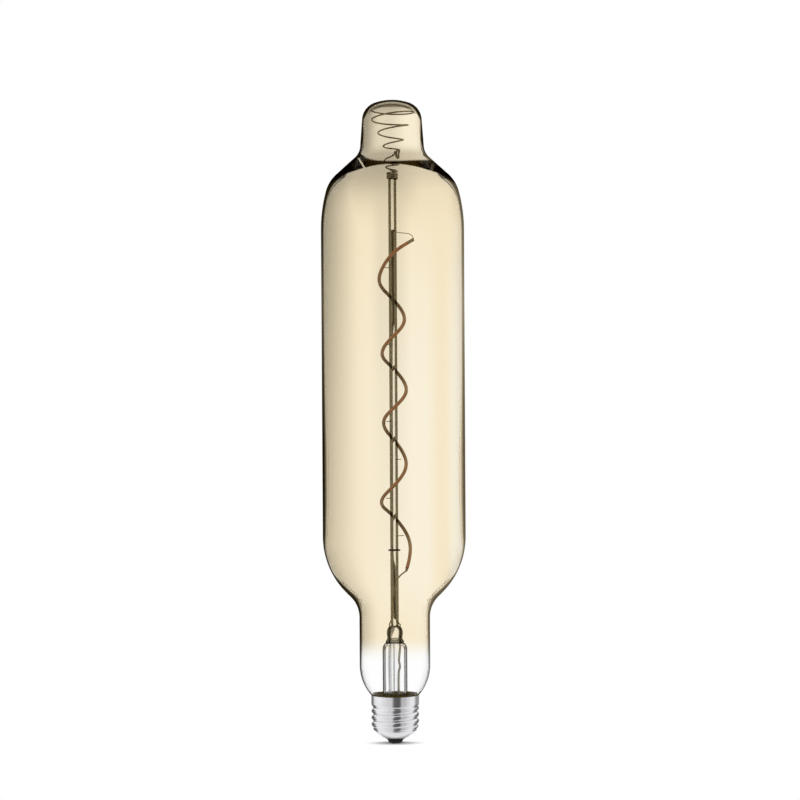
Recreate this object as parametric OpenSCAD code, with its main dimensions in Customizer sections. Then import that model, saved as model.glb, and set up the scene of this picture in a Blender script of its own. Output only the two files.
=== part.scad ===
// Tall tubular filament lamp with a soft spiral filament, a glass stem and a screw cap.
// Millimetres, +Z up along the lamp's axis, origin in the middle of the centre contact's lower face.
// The photographed side faces -Y, with +X on its right.

/* [Glass envelope] */
// Height of the whole lamp, from the centre contact to the tip of the glass
lamp_h = 350; // [330:1:400]
// Outside diameter of the straight body
body_d = 77.7; // [74:0.1:84]
// Thickness of the blown wall
glass_t = 1.1; // [0.8:0.1:1.4]
// Radius of the nearly flat dome on the tip
tip_dome_r = 29.2; // [27:0.1:34]
// Radius of the corner between the dome and the side of the tip
tip_corner_r = 10; // [9:0.1:11]
// Outside diameter of the tip just below its corner
tip_d = 32.8; // [31.5:0.1:35]
// Length of the tip's side, from its corner to the fillet
tip_side_l = 14.1; // [10:0.1:18]
// Widening of the tip's side towards the fillet, in degrees
tip_taper = 4.2; // [2:0.1:6]
// Radius of the hollow fillet between the tip and the shoulder
tip_fillet_r = 9; // [7:0.1:12]
// Steepest slope of the upper shoulder, in degrees from the axis
upper_slope = 48; // [44:1:54]
// Radius of the upper shoulder where it turns down
upper_turn_r = 19; // [16:0.1:22]
// Radius of the last, slow bend into the straight body
upper_ease_r = 80; // [70:1:95]
// Slope at which the slow bend takes over, in degrees from the axis
upper_ease_a = 15; // [12:1:17]
// Radius of the lower shoulder
lower_turn_r = 43; // [36:0.1:48]
// Steepest slope of the lower shoulder, in degrees from the axis
lower_slope = 45; // [43:1:52]
// Radius of the hollow fillet between the lower shoulder and the neck
neck_fillet_r = 16; // [12:0.1:18]
// Outside diameter of the neck
neck_d = 38.4; // [36:0.1:40]
// Length of the straight part of the neck
neck_l = 25.4; // [20:0.1:32]
// Radius of the heel where the neck draws in to the cap
heel_r = 24.4; // [22:0.1:28]
// Radius of the last fillet, inside the cap
seat_fillet_r = 4; // [3:0.1:5]
// Outside diameter of the glass inside the cap
seat_d = 22.8; // [22.2:0.1:23]

/* [Glass stem] */
// Height at which the stem's flange is fused to the envelope
seal_z = 15; // [14.5:0.1:16]
// Thickness of the flange below the seal
flange_t = 1.2; // [1:0.1:1.6]
// Outside diameter of the flare tube
flare_d = 13.4; // [12.6:0.1:14]
// Wall of the flare tube
flare_t = 1.2; // [0.9:0.1:1.4]
// Radius of the flared skirt
flare_fillet_r = 10; // [9:0.1:12]
// Radius of the rounded top of the flare tube
flare_top_r = 4; // [3:0.1:5]
// Height of the flare's upper end, where the pinch begins
pinch_z = 54.4; // [50:0.1:56]
// Diameter of the round foot of the pinch
pinch_foot_d = 10.2; // [9.6:0.1:10.4]
// Height of the round foot
pinch_foot_h = 1.5; // [1.5:0.1:3]
// Width of the flattened pinch
pinch_w = 8.6; // [8.4:0.1:9.4]
// Thickness of the flattened pinch
pinch_t = 5.6; // [5:0.1:6.4]
// Height of the pinch with its foot
pinch_h = 9.4; // [9:0.1:14]
// Rounding of the upper edges of the pinch
pinch_round_r = 1.2; // [0.8:0.1:1.4]
// Outside diameter of the exhaust tube
exhaust_d = 2.6; // [2.2:0.1:2.8]
// Bore of the exhaust tube
exhaust_bore_d = 1.4; // [1:0.1:1.6]
// Height of the exhaust tube's sealed end
exhaust_tip_z = 24; // [22:0.1:28]
// Diameter of the glass support rod
rod_d = 4.4; // [3.8:0.1:4.6]
// Height of the rod's upper end
rod_top_z = 310.5; // [290:0.5:314]

/* [Spiral filament] */
// Diameter of the coated filament
filament_d = 1.7; // [1.5:0.1:2]
// Bore of the coating that the strip lies in
filament_bore_d = 1.24; // [1.1:0.02:1.3]
// Whole turns of the spiral
filament_turns = 4; // [2:1:6]
// Height of the upper end of the spiral
filament_top_z = 274; // [262:0.5:276]
// Height at which the last whole turn ends and the tail begins
filament_low_z = 107.4; // [106:0.1:112]
// Drop of the tail below the last whole turn
tail_drop = 13.4; // [12:0.1:14]
// Sweep of the tail round the rod, in degrees
tail_sweep = 54; // [45:1:60]
// Distance from the axis to the middle of the spiral's windings
spiral_r = 6.3; // [5.8:0.1:7.5]
// Distance from the axis to the upper end
spiral_top_r = 11.7; // [10:0.1:13]
// Distance from the axis to the last whole turn
spiral_low_r = 9; // [8.5:0.1:9.5]
// Distance from the axis to the end of the tail
tail_end_r = 7; // [6.4:0.1:7.6]
// Width of the flexible strip
strip_w = 0.8; // [0.6:0.05:0.85]
// Thickness of the flexible strip
strip_t = 0.2; // [0.14:0.02:0.24]
// Number of light-emitting chips on the strip
chip_count = 32; // [16:1:48]
// Length of one chip along the strip
chip_l = 0.5; // [0.3:0.05:0.6]
// Width of one chip
chip_w = 0.4; // [0.3:0.05:0.5]
// Thickness of one chip
chip_t = 0.14; // [0.1:0.02:0.16]
// Length of the metal tab at each end of the filament
tab_l = 2.6; // [2:0.1:3.2]
// Width of the metal tabs
tab_w = 1; // [0.8:0.1:1.2]
// Thickness of the metal tabs
tab_t = 0.3; // [0.2:0.05:0.4]

/* [Wires] */
// Diameter of the two leads that carry the filament
lead_d = 0.6; // [0.5:0.05:0.7]
// Diameter of the seal wires in the pinch
seal_wire_d = 0.6; // [0.5:0.05:0.64]
// Clearance between a wire and the glass hole that it lies in
wire_gap = 0.05; // [0.02:0.01:0.1]
// Distance of the seal wires from the axis
seal_wire_x = 2.9; // [2.8:0.05:3.1]
// Diameter of the outer leads from the pinch down to the board
outer_lead_d = 1.2; // [0.8:0.1:1.3]
// Clearance between the leads and the rod
lead_gap = 0.1; // [0.05:0.05:0.2]
// Diameter of the wires that hold the filament off the rod
holder_d = 0.4; // [0.3:0.05:0.6]
// Height of the metal band that ties the rear lead to the rod
tie_z = 105; // [100:0.1:105]
// Width of the band along the rod
tie_w = 0.8; // [0.6:0.1:2]
// Thickness of the band
tie_t = 0.25; // [0.2:0.05:0.4]
// Diameter of the knots at the sides of the band
knot_d = 1; // [0.8:0.1:1.4]

/* [Top spring] */
// Diameter of the spring wire
spring_wire_d = 0.75; // [0.6:0.05:0.75]
// Distance from the axis to the ring that braces against the dome
spring_ring_r = 12; // [11.6:0.1:12.6]
// Drop of the ring over its one turn
spring_ring_drop = 6.2; // [5:0.1:7]
// Distance from the axis to the wire where the ring runs over into the cone
spring_cone_r = 10.9; // [10.4:0.1:11.4]
// Turns of the cone between the ring and the rod
spring_cone_turns = 5; // [4:1:6]
// Turns wound tightly on the rod
spring_grip_turns = 3; // [2:1:4]
// Rise of one of the tight turns
spring_grip_pitch = 1.25; // [1.2:0.05:1.4]
// Clearance between the spring and what it touches
spring_gap = 0.1; // [0.05:0.05:0.15]

/* [Screw cap] */
// Outside diameter of the plain collar and of the thread's crests
cap_d = 26.2; // [26.1:0.02:26.4]
// Diameter at the thread's roots
thread_root_d = 24.26; // [24.26:0.02:24.5]
// Pitch of the round thread
thread_pitch = 3.62; // [3.6:0.01:3.64]
// Height at which the thread begins
thread_z = 8; // [7.9:0.1:8.2]
// Height at which the plain collar begins
collar_z = 21; // [20.5:0.1:21.4]
// Height of the cap's rim
rim_z = 25.7; // [25:0.1:27]
// Thickness of the cap's sheet metal
sheet_t = 0.3; // [0.2:0.02:0.36]
// Radius of the corner below the thread
bowl_corner_r = 1.2; // [1:0.1:1.4]
// Radius of the bowl that runs in to the insulator
bowl_r = 14; // [13:0.1:14.4]
// Height of the insulator inside the cap
insulator_z = 5.6; // [5:0.1:6]
// Diameter of the insulator at its shoulder below the cap
insulator_mid_d = 8.6; // [8.2:0.1:9]
// Height of that shoulder
insulator_mid_z = 1.9; // [1.7:0.1:2.2]
// Diameter of the insulator where it holds the contact
insulator_low_d = 7.8; // [7.6:0.1:8]
// Thickness of the centre contact's disc
contact_h = 1; // [0.8:0.1:1.2]
// Diameter of the centre contact
contact_d = 7.4; // [7:0.1:7.6]
// Diameter of the flat that touches the holder's spring
contact_flat_d = 5.6; // [5:0.1:6]
// Diameter of the contact's stem
contact_stem_d = 2; // [1.6:0.1:2.4]
// Distance from the rim down to the top of the cement
cement_drop = 0.8; // [0.4:0.1:1.4]

/* [Driver] */
// Diameter of the round circuit board
board_d = 19; // [18.4:0.1:19.6]
// Thickness of the board
board_t = 1; // [0.8:0.1:1.2]
// Height of the board's lower face
board_z = 9.6; // [9.4:0.1:10]
// Diameter of the smoothing capacitor
capacitor_d = 4.5; // [4:0.1:5]
// Height of the smoothing capacitor
capacitor_h = 6; // [5:0.1:6.4]
// Diameter of the insulated live wire
live_wire_d = 0.9; // [0.7:0.05:1.1]
// Diameter of the bare wire to the cap's shell
neutral_wire_d = 0.6; // [0.5:0.05:0.7]

/* [Hidden] */

$fn = 96;
// Largest bend of one straight step along a drawn arc, in degrees
arc_step = 4;

body_r = body_d / 2;
tip_r = tip_d / 2;
neck_r = neck_d / 2;
seat_r = seat_d / 2;
flare_r = flare_d / 2;
pinch_foot_r = pinch_foot_d / 2;
rod_r = rod_d / 2;
lead_r = lead_d / 2;
filament_r = filament_d / 2;
spring_wire_r = spring_wire_d / 2;
cap_r = cap_d / 2;
thread_root_r = thread_root_d / 2;

// Helpers
function last(list) = list[len(list) - 1];
function reverse(list) = [for (i = [len(list) - 1:-1:0]) list[i]];
function unit(v) = v / norm(v);

// Points down a profile made of tangent stretches, from point p with the slope h, in degrees from
// straight down. A stretch is [0, length], or [radius, turn] with a positive turn outwards.
// The inset draws the parallel profile on the inner side, so both keep the same centres.
function walk(stretches, p, h, inset, i = 0) =
    i == len(stretches) ? [] :
    let (r = stretches[i][0], turn = stretches[i][1])
    r == 0 ?
        let (q = p + turn * [sin(h), -cos(h)])
        concat([q], walk(stretches, q, h, inset, i + 1)) :
        let (
            side = sign(turn),
            rr = side * (r + side * inset),
            n = ceil(abs(turn) / arc_step),
            arc = [for (k = [1:n]) p + rr * [cos(h) - cos(h + turn * k / n), sin(h) - sin(h + turn * k / n)]]
        )
        concat(arc, walk(stretches, last(arc), h + turn, inset, i + 1));

// Turn of an S bend that moves a profile sideways by step with two radii
function s_turn(step, radii) = acos(1 - step / radii);

// Radius of a profile at the height z, from points listed upwards
function radius_at(profile, z) = lookup(z, [for (p = profile) [p.y, p.x]]);

// A smooth line through hand-chosen points, with n steps between each pair
function smooth_point(a, b, c, d, t) =
    0.5 * (2 * b + (c - a) * t + (2 * a - 5 * b + 4 * c - d) * t * t + (3 * b - a - 3 * c + d) * t * t * t);
function smooth(points, n) = let (m = len(points) - 1) concat(
    [for (i = [0:m - 1], k = [0:n - 1]) smooth_point(
        points[max(i - 1, 0)], points[i], points[i + 1], points[min(i + 2, m)], k / n)],
    [points[m]]);
// The same line between straight first and last stretches, so that both ends are cut square
function lead_path(points, n) = concat(
    [points[0]], smooth([for (i = [1:len(points) - 2]) points[i]], n), [last(points)]);

function heading(path, i) = unit(path[min(i + 1, len(path) - 1)] - path[max(i - 1, 0)]);

// Rings of a section swept along a path. The section is a list of [sideways, upwards] pairs,
// and ref is a direction that the path never follows.
function sweep(path, section, ref) = [for (i = [0:len(path) - 1])
    let (t = heading(path, i), u = unit(cross(ref, t)), v = cross(t, u))
    [for (s = section) path[i] + s.x * u + s.y * v]];
function round_section(r, sides) = [for (k = [0:sides - 1]) r * [cos(360 * k / sides), sin(360 * k / sides)]];

// Triangles of the skin between rings of n points that start at the index first
function skin(first, rings, n, flip) = [for (i = [0:rings - 2], k = [0:n - 1])
    let (
        a = first + i * n + k,
        b = first + i * n + (k + 1) % n,
        c = b + n,
        d = a + n
    )
    each flip ? [[a, c, b], [a, d, c]] : [[a, b, c], [a, c, d]]];
function fan(first, n, flip) = [for (k = [1:n - 2])
    flip ? [first, first + k + 1, first + k] : [first, first + k, first + k + 1]];
// Triangles of the flat ring between an outer and an inner loop
function rim(outer, inner, n, flip) = [for (k = [0:n - 1])
    let (a = outer + k, b = outer + (k + 1) % n, c = inner + (k + 1) % n, d = inner + k)
    each flip ? [[a, c, b], [a, d, c]] : [[a, b, c], [a, c, d]]];

module solid_skin(rings) {
    n = len(rings[0]);
    m = len(rings);
    polyhedron([for (ring = rings) each ring],
        concat(fan(0, n, false), skin(0, m, n, true), fan((m - 1) * n, n, true)));
}

module hollow_skin(outer, inner) {
    n = len(outer[0]);
    m = len(outer);
    polyhedron([for (ring = concat(outer, inner)) each ring],
        concat(
            skin(0, m, n, true),
            skin(m * n, m, n, false),
            rim(0, m * n, n, false),
            rim((m - 1) * n, (2 * m - 1) * n, n, true)));
}

// Straight run of one diameter added to both ends of a wound wire
function with_ends(path, l) = concat(
    [path[0] - l * heading(path, 0)], path, [last(path) + l * heading(path, len(path) - 1)]);

// Least gap between turns of a wound wire, measured on its points, half a turn and more apart
function self_gap(path, apart, d) =
    min([for (i = [0:len(path) - 1 - apart], j = [i + apart:len(path) - 1]) norm(path[i] - path[j])]) - d;

// A long piece laid along direction t from point p, its length on its own X
module along(p, t) {
    translate(p)
        rotate([0, -asin(t.z), atan2(t.y, t.x)])
            children();
}

// Glass envelope
// The profile runs from the tip down to the seal. The straight body takes the height that is left.
tip_corner_x = tip_r - tip_corner_r * cos(tip_taper);
tip_dome_turn = asin(tip_corner_x / (tip_dome_r - tip_corner_r));
tip_corner_z = lamp_h - tip_dome_r + (tip_dome_r - tip_corner_r) * cos(tip_dome_turn);
upper_bends_w = tip_fillet_r * (cos(tip_taper) - cos(upper_slope))
    + upper_turn_r * (cos(upper_ease_a) - cos(upper_slope))
    + upper_ease_r * (1 - cos(upper_ease_a));
upper_cone_l = (body_r - tip_r - tip_side_l * sin(tip_taper) - upper_bends_w) / sin(upper_slope);
lower_bends_w = (lower_turn_r + neck_fillet_r) * (1 - cos(lower_slope));
lower_cone_l = (body_r - neck_r - lower_bends_w) / sin(lower_slope);
heel_turn = s_turn(neck_r - seat_r, heel_r + seat_fillet_r);
seat_top_z = rim_z - seat_fillet_r * sin(heel_turn);

upper_profile = [
    [tip_dome_r, -tip_dome_turn],
    [tip_corner_r, tip_dome_turn + tip_taper - 90],
    [0, tip_side_l],
    [tip_fillet_r, upper_slope - tip_taper],
    [0, upper_cone_l],
    [upper_turn_r, upper_ease_a - upper_slope],
    [upper_ease_r, -upper_ease_a]
];
lower_profile = [
    [lower_turn_r, -lower_slope],
    [0, lower_cone_l],
    [neck_fillet_r, lower_slope],
    [0, neck_l],
    [heel_r, -heel_turn],
    [seat_fillet_r, heel_turn],
    [0, seat_top_z - seal_z]
];
body_l = last(walk(concat(upper_profile, lower_profile), [0, lamp_h], 90, 0)).y - seal_z;
glass_profile = concat(upper_profile, [[0, body_l]], lower_profile);
glass_outside = walk(glass_profile, [0, lamp_h], 90, 0);
glass_inside = walk(glass_profile, [0, lamp_h - glass_t], 90, glass_t);

module envelope() {
    color([0.92, 0.84, 0.66, 0.4])
        rotate_extrude()
            polygon(concat([[0, lamp_h]], glass_outside, reverse(glass_inside), [[0, lamp_h - glass_t]]));
}

// Glass stem
flare_turn = s_turn(seat_r - glass_t - flare_r, flare_fillet_r);
flare_top_turn = s_turn(flare_r - pinch_foot_r, flare_top_r);
flare_profile = [
    [flare_top_r, -flare_top_turn],
    [0, pinch_z - seal_z - flare_top_r * sin(flare_top_turn) - flare_fillet_r * sin(flare_turn)],
    [flare_fillet_r, flare_turn]
];
flare_outside_start = [pinch_foot_r, pinch_z];
flare_inside_start = flare_outside_start - flare_t * [cos(flare_top_turn), sin(flare_top_turn)];

module stem_flare() {
    outside = concat([flare_outside_start], walk(flare_profile, flare_outside_start, flare_top_turn, 0));
    inside = concat([flare_inside_start], walk(flare_profile, flare_inside_start, flare_top_turn, flare_t));
    color([0.9, 0.92, 0.92, 0.5])
        rotate_extrude()
            polygon(concat(
                [[pinch_foot_r - flare_t, pinch_z]],
                outside,
                [[seat_r, seal_z], [seat_r, seal_z - flange_t], [last(inside).x, seal_z - flange_t]],
                reverse(inside)));
}

// Place of the exhaust tube in the stem's foot
exhaust_at = [-1.5, -1.6];
pinch_top_z = pinch_z + pinch_h;

module obround(w, t) {
    square([w - t, t], center = true);
    for (side = [-1, 1])
        translate([side * (w - t) / 2, 0])
            circle(d = t);
}

module stem_pinch() {
    vent_z = pinch_z + pinch_h / 2;
    color([0.9, 0.92, 0.92, 0.5])
        difference() {
            union() {
                translate([0, 0, pinch_z])
                    cylinder(d = pinch_foot_d, h = pinch_foot_h);
                translate([0, 0, pinch_z + pinch_foot_h])
                    linear_extrude(pinch_h - pinch_foot_h - pinch_round_r)
                        obround(pinch_w, pinch_t);
                translate([0, 0, pinch_top_z - pinch_round_r])
                    linear_extrude(pinch_round_r)
                        obround(pinch_w - pinch_round_r, pinch_t - pinch_round_r);
            }
            for (side = [-1, 1])
                translate([side * seal_wire_x, 0, pinch_z - 1])
                    cylinder(d = seal_wire_d + 2 * wire_gap, h = pinch_h + 2);
            translate([exhaust_at.x, exhaust_at.y, pinch_z - 1])
                cylinder(d = exhaust_bore_d, h = vent_z - pinch_z + 1);
            translate([exhaust_at.x, exhaust_at.y, vent_z])
                rotate([90, 0, 0])
                    cylinder(d = exhaust_bore_d, h = pinch_w);
        }
}

module exhaust_tube() {
    r = exhaust_d / 2;
    bore_r = exhaust_bore_d / 2;
    color([0.9, 0.92, 0.92, 0.5])
        translate([exhaust_at.x, exhaust_at.y, 0])
            difference() {
                union() {
                    translate([0, 0, exhaust_tip_z + r])
                        cylinder(r = r, h = pinch_z - exhaust_tip_z - r);
                    translate([0, 0, exhaust_tip_z + r])
                        sphere(r = r);
                }
                translate([0, 0, exhaust_tip_z + 2 * r])
                    cylinder(r = bore_r, h = pinch_z);
            }
}

module support_rod() {
    color([0.85, 0.83, 0.74, 0.6])
        translate([0, 0, pinch_top_z])
            cylinder(d = rod_d, h = rod_top_z - pinch_top_z);
}

// Spiral filament
// Rings of a wound tube in one loop, and the sides of each tube
loop_rings = 24;
tube_sides = 6;
spiral_pitch = (filament_top_z - filament_low_z) / filament_turns;
// How quickly the wide end turns draw in to the middle ones
spiral_draw_in = 10;

// Angle, radius and height at a share s of the whole turns, from the top end down
function spiral_radius(s) = spiral_r
    + (spiral_top_r - spiral_r) * pow(1 - s, spiral_draw_in)
    + (spiral_low_r - spiral_r) * pow(s, spiral_draw_in);
function spiral_place(s) = [
    -360 * filament_turns * s,
    spiral_radius(s),
    filament_top_z - (filament_top_z - filament_low_z) * s];
function tail_place(t) = [
    -tail_sweep * (2 * t - t * t),
    spiral_low_r + (tail_end_r - spiral_low_r) * t * t,
    filament_low_z - tail_drop * t];
function from_polar(q) = [q[1] * cos(q[0]), q[1] * sin(q[0]), q[2]];

tail_rings = 5;
filament_places = concat(
    [for (k = [0:filament_turns * loop_rings]) spiral_place(k / (filament_turns * loop_rings))],
    [for (k = [1:tail_rings]) tail_place(k / tail_rings)]);
filament_path = with_ends([for (q = filament_places) from_polar(q)], filament_d);
echo(str("Least gap between windings of the filament: ",
    self_gap(filament_path, loop_rings / 2, filament_d), " mm"));

module filament_coating() {
    color([0.62, 0.4, 0.2])
        hollow_skin(
            sweep(filament_path, round_section(filament_r, tube_sides), [0, 0, 1]),
            sweep(filament_path, round_section(filament_bore_d / 2, tube_sides), [0, 0, 1]));
}

module filament_strip() {
    a = strip_t / 2;
    b = strip_w / 2;
    color([0.85, 0.8, 0.7])
        solid_skin(sweep(filament_path, [[a, b], [-a, b], [-a, -b], [a, -b]], [0, 0, 1]));
}

// Each chip lies flat on the outer face of the strip, at one of the path's rings
chip_seat_gap = 0.02;
module led_chips() {
    first_ring = 2;
    last_ring = filament_turns * loop_rings - 2;
    color([0.3, 0.35, 0.6])
        for (k = [0:chip_count - 1]) {
            i = round(first_ring + (last_ring - first_ring) * k / (chip_count - 1));
            t = heading(filament_path, i + 1);
            along(filament_path[i + 1], t)
                translate([0, strip_t / 2 + chip_seat_gap + chip_t / 2, 0])
                    cube([chip_l, chip_t, chip_w], center = true);
        }
}

module filament_tab(p, t) {
    color([0.6, 0.58, 0.52])
        along(p, t)
            translate([0, -tab_t / 2, -tab_w / 2])
                cube([tab_l, tab_t, tab_w]);
}

upper_tab_at = filament_path[0];
upper_tab_dir = -heading(filament_path, 0);
lower_tab_at = last(filament_path);
lower_tab_dir = heading(filament_path, len(filament_path) - 1);

module upper_tab() filament_tab(upper_tab_at, upper_tab_dir);
module lower_tab() filament_tab(lower_tab_at, lower_tab_dir);

// Angles of the holders round the rod and the turn that each is on, counted from the top
holders = [[-135, 0], [-135, 1], [-135, 2], [-135, 3], [-315, 2], [-315, 3]];
holder_seat_gap = 0.05;

module filament_holders() {
    color([0.45, 0.42, 0.36])
        for (h = holders) {
            q = spiral_place((-h[0] / 360 + h[1]) / filament_turns);
            from = rod_r + holder_seat_gap;
            to = q[1] - filament_r - holder_seat_gap;
            rotate([0, 0, q[0]])
                translate([from, 0, q[2]])
                    rotate([0, 90, 0])
                        cylinder(d = holder_d, h = to - from);
        }
}

// Wires
module wire(path, d, ref, colour, sides = 8) {
    color(colour)
        solid_skin(sweep(path, round_section(d / 2, sides), ref));
}

// Distance from the axis to the middle of a lead that runs along the rod
lead_y = rod_r + lead_gap + lead_r;
nickel = [0.55, 0.53, 0.48];

module rear_lead() {
    tab_end = upper_tab_at + (tab_l + lead_r) * upper_tab_dir;
    points = [
        [seal_wire_x, 0, pinch_top_z],
        [seal_wire_x, 0, pinch_top_z + 1],
        [1.8, lead_y - 0.3, pinch_top_z + 5],
        [0, lead_y, pinch_top_z + 10],
        [0, lead_y, tie_z],
        [-0.5, lead_y, tie_z + 20],
        [-0.5, lead_y, filament_top_z - 44],
        [0, lead_y, filament_top_z - 12],
        [0, lead_y, filament_top_z],
        [0.6, lead_y, filament_top_z + 3],
        [4, lead_y + 0.2, filament_top_z + 4.2],
        tab_end + [-2.4, 0.4, 2.6],
        tab_end
    ];
    wire(lead_path(points, 5), lead_d, [0, 1, 0], nickel);
}

module front_lead() {
    tab_end = lower_tab_at + (tab_l + lead_r) * lower_tab_dir;
    points = [
        [-seal_wire_x, 0, pinch_top_z],
        [-seal_wire_x, 0, pinch_top_z + 1],
        [-2, -lead_y + 0.5, pinch_top_z + 5],
        [-1.6, -lead_y, pinch_top_z + 10],
        [-1, -lead_y - 0.1, pinch_top_z + 15],
        [0.2, -lead_y - 0.2, pinch_top_z + 20],
        tab_end + [-1.6, 0, -2.6],
        tab_end
    ];
    wire(lead_path(points, 5), lead_d, [0, 1, 0], nickel);
}

module tie_outline(grow) {
    hull() {
        circle(r = rod_r + grow, $fn = 32);
        translate([0, lead_y])
            circle(r = lead_r + grow, $fn = 32);
    }
}

module lead_tie() {
    inside = lead_gap / 2;
    color(nickel)
        translate([0, 0, tie_z - tie_w / 2]) {
            linear_extrude(tie_w)
                difference() {
                    tie_outline(inside + tie_t);
                    tie_outline(inside);
                }
            for (side = [-1, 1])
                translate([side * (rod_r + inside + tie_t + knot_d / 3), 0, tie_w / 2])
                    sphere(d = knot_d, $fn = 24);
        }
}

module seal_wires() {
    color([0.55, 0.25, 0.15])
        for (side = [-1, 1])
            translate([side * seal_wire_x, 0, pinch_z])
                cylinder(d = seal_wire_d, h = pinch_h);
}

board_top_z = board_z + board_t;
board_lead_at = [[3.2, 0.4], [-3.4, 3]];

module outer_leads() {
    right = [
        [seal_wire_x, 0, pinch_z],
        [seal_wire_x, 0, pinch_z - 2],
        [2.2, 0.2, 45],
        [2.7, 0.2, 41.5],
        [2, 0, 38],
        [2, 0, 26],
        [board_lead_at[0].x, board_lead_at[0].y, board_top_z + 3],
        [board_lead_at[0].x, board_lead_at[0].y, board_z]
    ];
    left = [
        [-seal_wire_x, 0, pinch_z],
        [-seal_wire_x, 0, pinch_z - 2],
        [-3.4, 1.2, 44],
        [-3.2, 1.8, 34],
        [-3, 2, 24],
        [board_lead_at[1].x, board_lead_at[1].y, board_top_z + 3],
        [board_lead_at[1].x, board_lead_at[1].y, board_z]
    ];
    wire(lead_path(right, 4), outer_lead_d, [0, 1, 0], [0.7, 0.68, 0.55]);
    wire(lead_path(left, 4), outer_lead_d, [0, 1, 0], [0.7, 0.68, 0.55]);
}

// Top spring
// One wire: a ring against the dome, a cone of shrinking turns, and tight turns on the rod
spring_grip_r = rod_r + spring_gap + spring_wire_r;
spring_wall_r = tip_corner_r - glass_t - spring_wire_r - spring_gap;
spring_ring_z = tip_corner_z + sqrt(pow(spring_wall_r, 2) - pow(spring_ring_r - tip_corner_x, 2));
spring_cone_top_z = spring_ring_z - spring_ring_drop;
spring_grip_top_z = rod_top_z - spring_wire_r;
// How late the ring drops, how quickly the cone narrows and how its turns crowd towards the rod
spring_ring_easing = 1.5;
spring_narrowing = 2.6;
spring_crowding = 1.34;

function ring_place(u) = [
    u,
    spring_ring_r + (spring_cone_r - spring_ring_r) * u * u,
    spring_ring_z - spring_ring_drop * pow(u, spring_ring_easing)];
function cone_place(u) = let (s = u / spring_cone_turns) [
    1 + u,
    spring_grip_r + (spring_cone_r - spring_grip_r) * pow(1 - s, spring_narrowing),
    spring_grip_top_z + (spring_cone_top_z - spring_grip_top_z) * pow(1 - s, spring_crowding)];
function grip_place(u) = [
    1 + spring_cone_turns + u,
    spring_grip_r,
    spring_grip_top_z - spring_grip_pitch * u];
function spring_point(q) = from_polar([180 - 360 * q[0], q[1], q[2]]);

spring_path = with_ends([for (q = concat(
    [for (k = [0:loop_rings - 1]) ring_place(k / loop_rings)],
    [for (k = [0:spring_cone_turns * loop_rings - 1]) cone_place(k / loop_rings)],
    [for (k = [0:spring_grip_turns * loop_rings]) grip_place(k / loop_rings)])) spring_point(q)],
    spring_wire_d);
echo(str("Least gap between turns of the top spring: ",
    self_gap(spring_path, loop_rings / 2, spring_wire_d), " mm"));

module top_spring() wire(spring_path, spring_wire_d, [0, 0, 1], [0.4, 0.37, 0.3], tube_sides);

// Screw cap
bowl_start_slope = 38;
bowl_end_slope = 66;
bowl_profile = [[bowl_corner_r, -bowl_start_slope], [bowl_r, bowl_start_slope - bowl_end_slope]];
bowl_start = [thread_root_r, thread_z];
bowl_inside_start = bowl_start - [sheet_t, 0];
bowl_outside = concat([bowl_start], walk(bowl_profile, bowl_start, 0, 0));
bowl_inside = concat([bowl_inside_start], walk(bowl_profile, bowl_inside_start, 0, sheet_t));
collar_in_r = cap_r - sheet_t;

// Height and radius of the pressed thread, which runs out at both ends
thread_sides = 36;
thread_rows = 36;
thread_run_out = 1.4;
thread_crest_at = 19.4;
function thread_depth(z) = min(1, (z - thread_z) / thread_run_out, (collar_z - z) / thread_run_out);
function thread_radius(a, z) = let (
        wave = (1 + cos(360 * (z - thread_crest_at) / thread_pitch - a)) / 2,
        rise = max(0, (z - (collar_z - thread_run_out)) / thread_run_out))
    thread_root_r + (cap_r - thread_root_r) * (max(0, thread_depth(z)) * wave * (1 - rise) + rise);
// The end rows stand inside the round walls of the collar and the bowl that they join
thread_seat = 0.05;
thread_sagitta = cap_r * (1 - cos(180 / thread_sides));
function thread_inset(i, inner) = let (end_row = i == 0 || i == thread_rows)
    inner ? sheet_t - (end_row ? thread_seat + thread_sagitta : 0) : (end_row ? thread_seat : 0);
function thread_rings(inner) = [for (i = [0:thread_rows])
    let (z = thread_z + (collar_z - thread_z) * i / thread_rows)
    [for (k = [0:thread_sides - 1])
        let (a = 360 * k / thread_sides, r = thread_radius(a, z) - thread_inset(i, inner))
        [r * cos(a), r * sin(a), z]]];

module screw_shell() {
    color([0.78, 0.78, 0.8]) {
        rotate_extrude()
            polygon([[collar_in_r, collar_z], [cap_r, collar_z], [cap_r, rim_z], [collar_in_r, rim_z]]);
        hollow_skin(thread_rings(false), thread_rings(true));
        rotate_extrude()
            polygon(concat(bowl_outside, reverse(bowl_inside)));
    }
}

module insulator() {
    wall = [for (p = bowl_inside) if (p.y < insulator_z) p];
    top_r = radius_at(reverse(bowl_inside), insulator_z);
    color([0.06, 0.06, 0.07])
        rotate_extrude()
            polygon(concat(
                [[contact_stem_d / 2, insulator_z], [top_r, insulator_z]],
                wall,
                [[last(wall).x - sheet_t / 2, last(bowl_outside).y],
                [insulator_mid_d / 2, insulator_mid_z],
                [insulator_low_d / 2, contact_h],
                [contact_stem_d / 2, contact_h]]));
}

contact_stem_top_z = insulator_z + 0.6;
module centre_contact() {
    r = contact_d / 2;
    color([0.75, 0.72, 0.62])
        rotate_extrude()
            polygon([
                [0, 0],
                [contact_flat_d / 2, 0],
                [r, contact_h / 2],
                [r, contact_h],
                [contact_stem_d / 2, contact_h],
                [contact_stem_d / 2, contact_stem_top_z],
                [0, contact_stem_top_z]
            ]);
}

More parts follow.
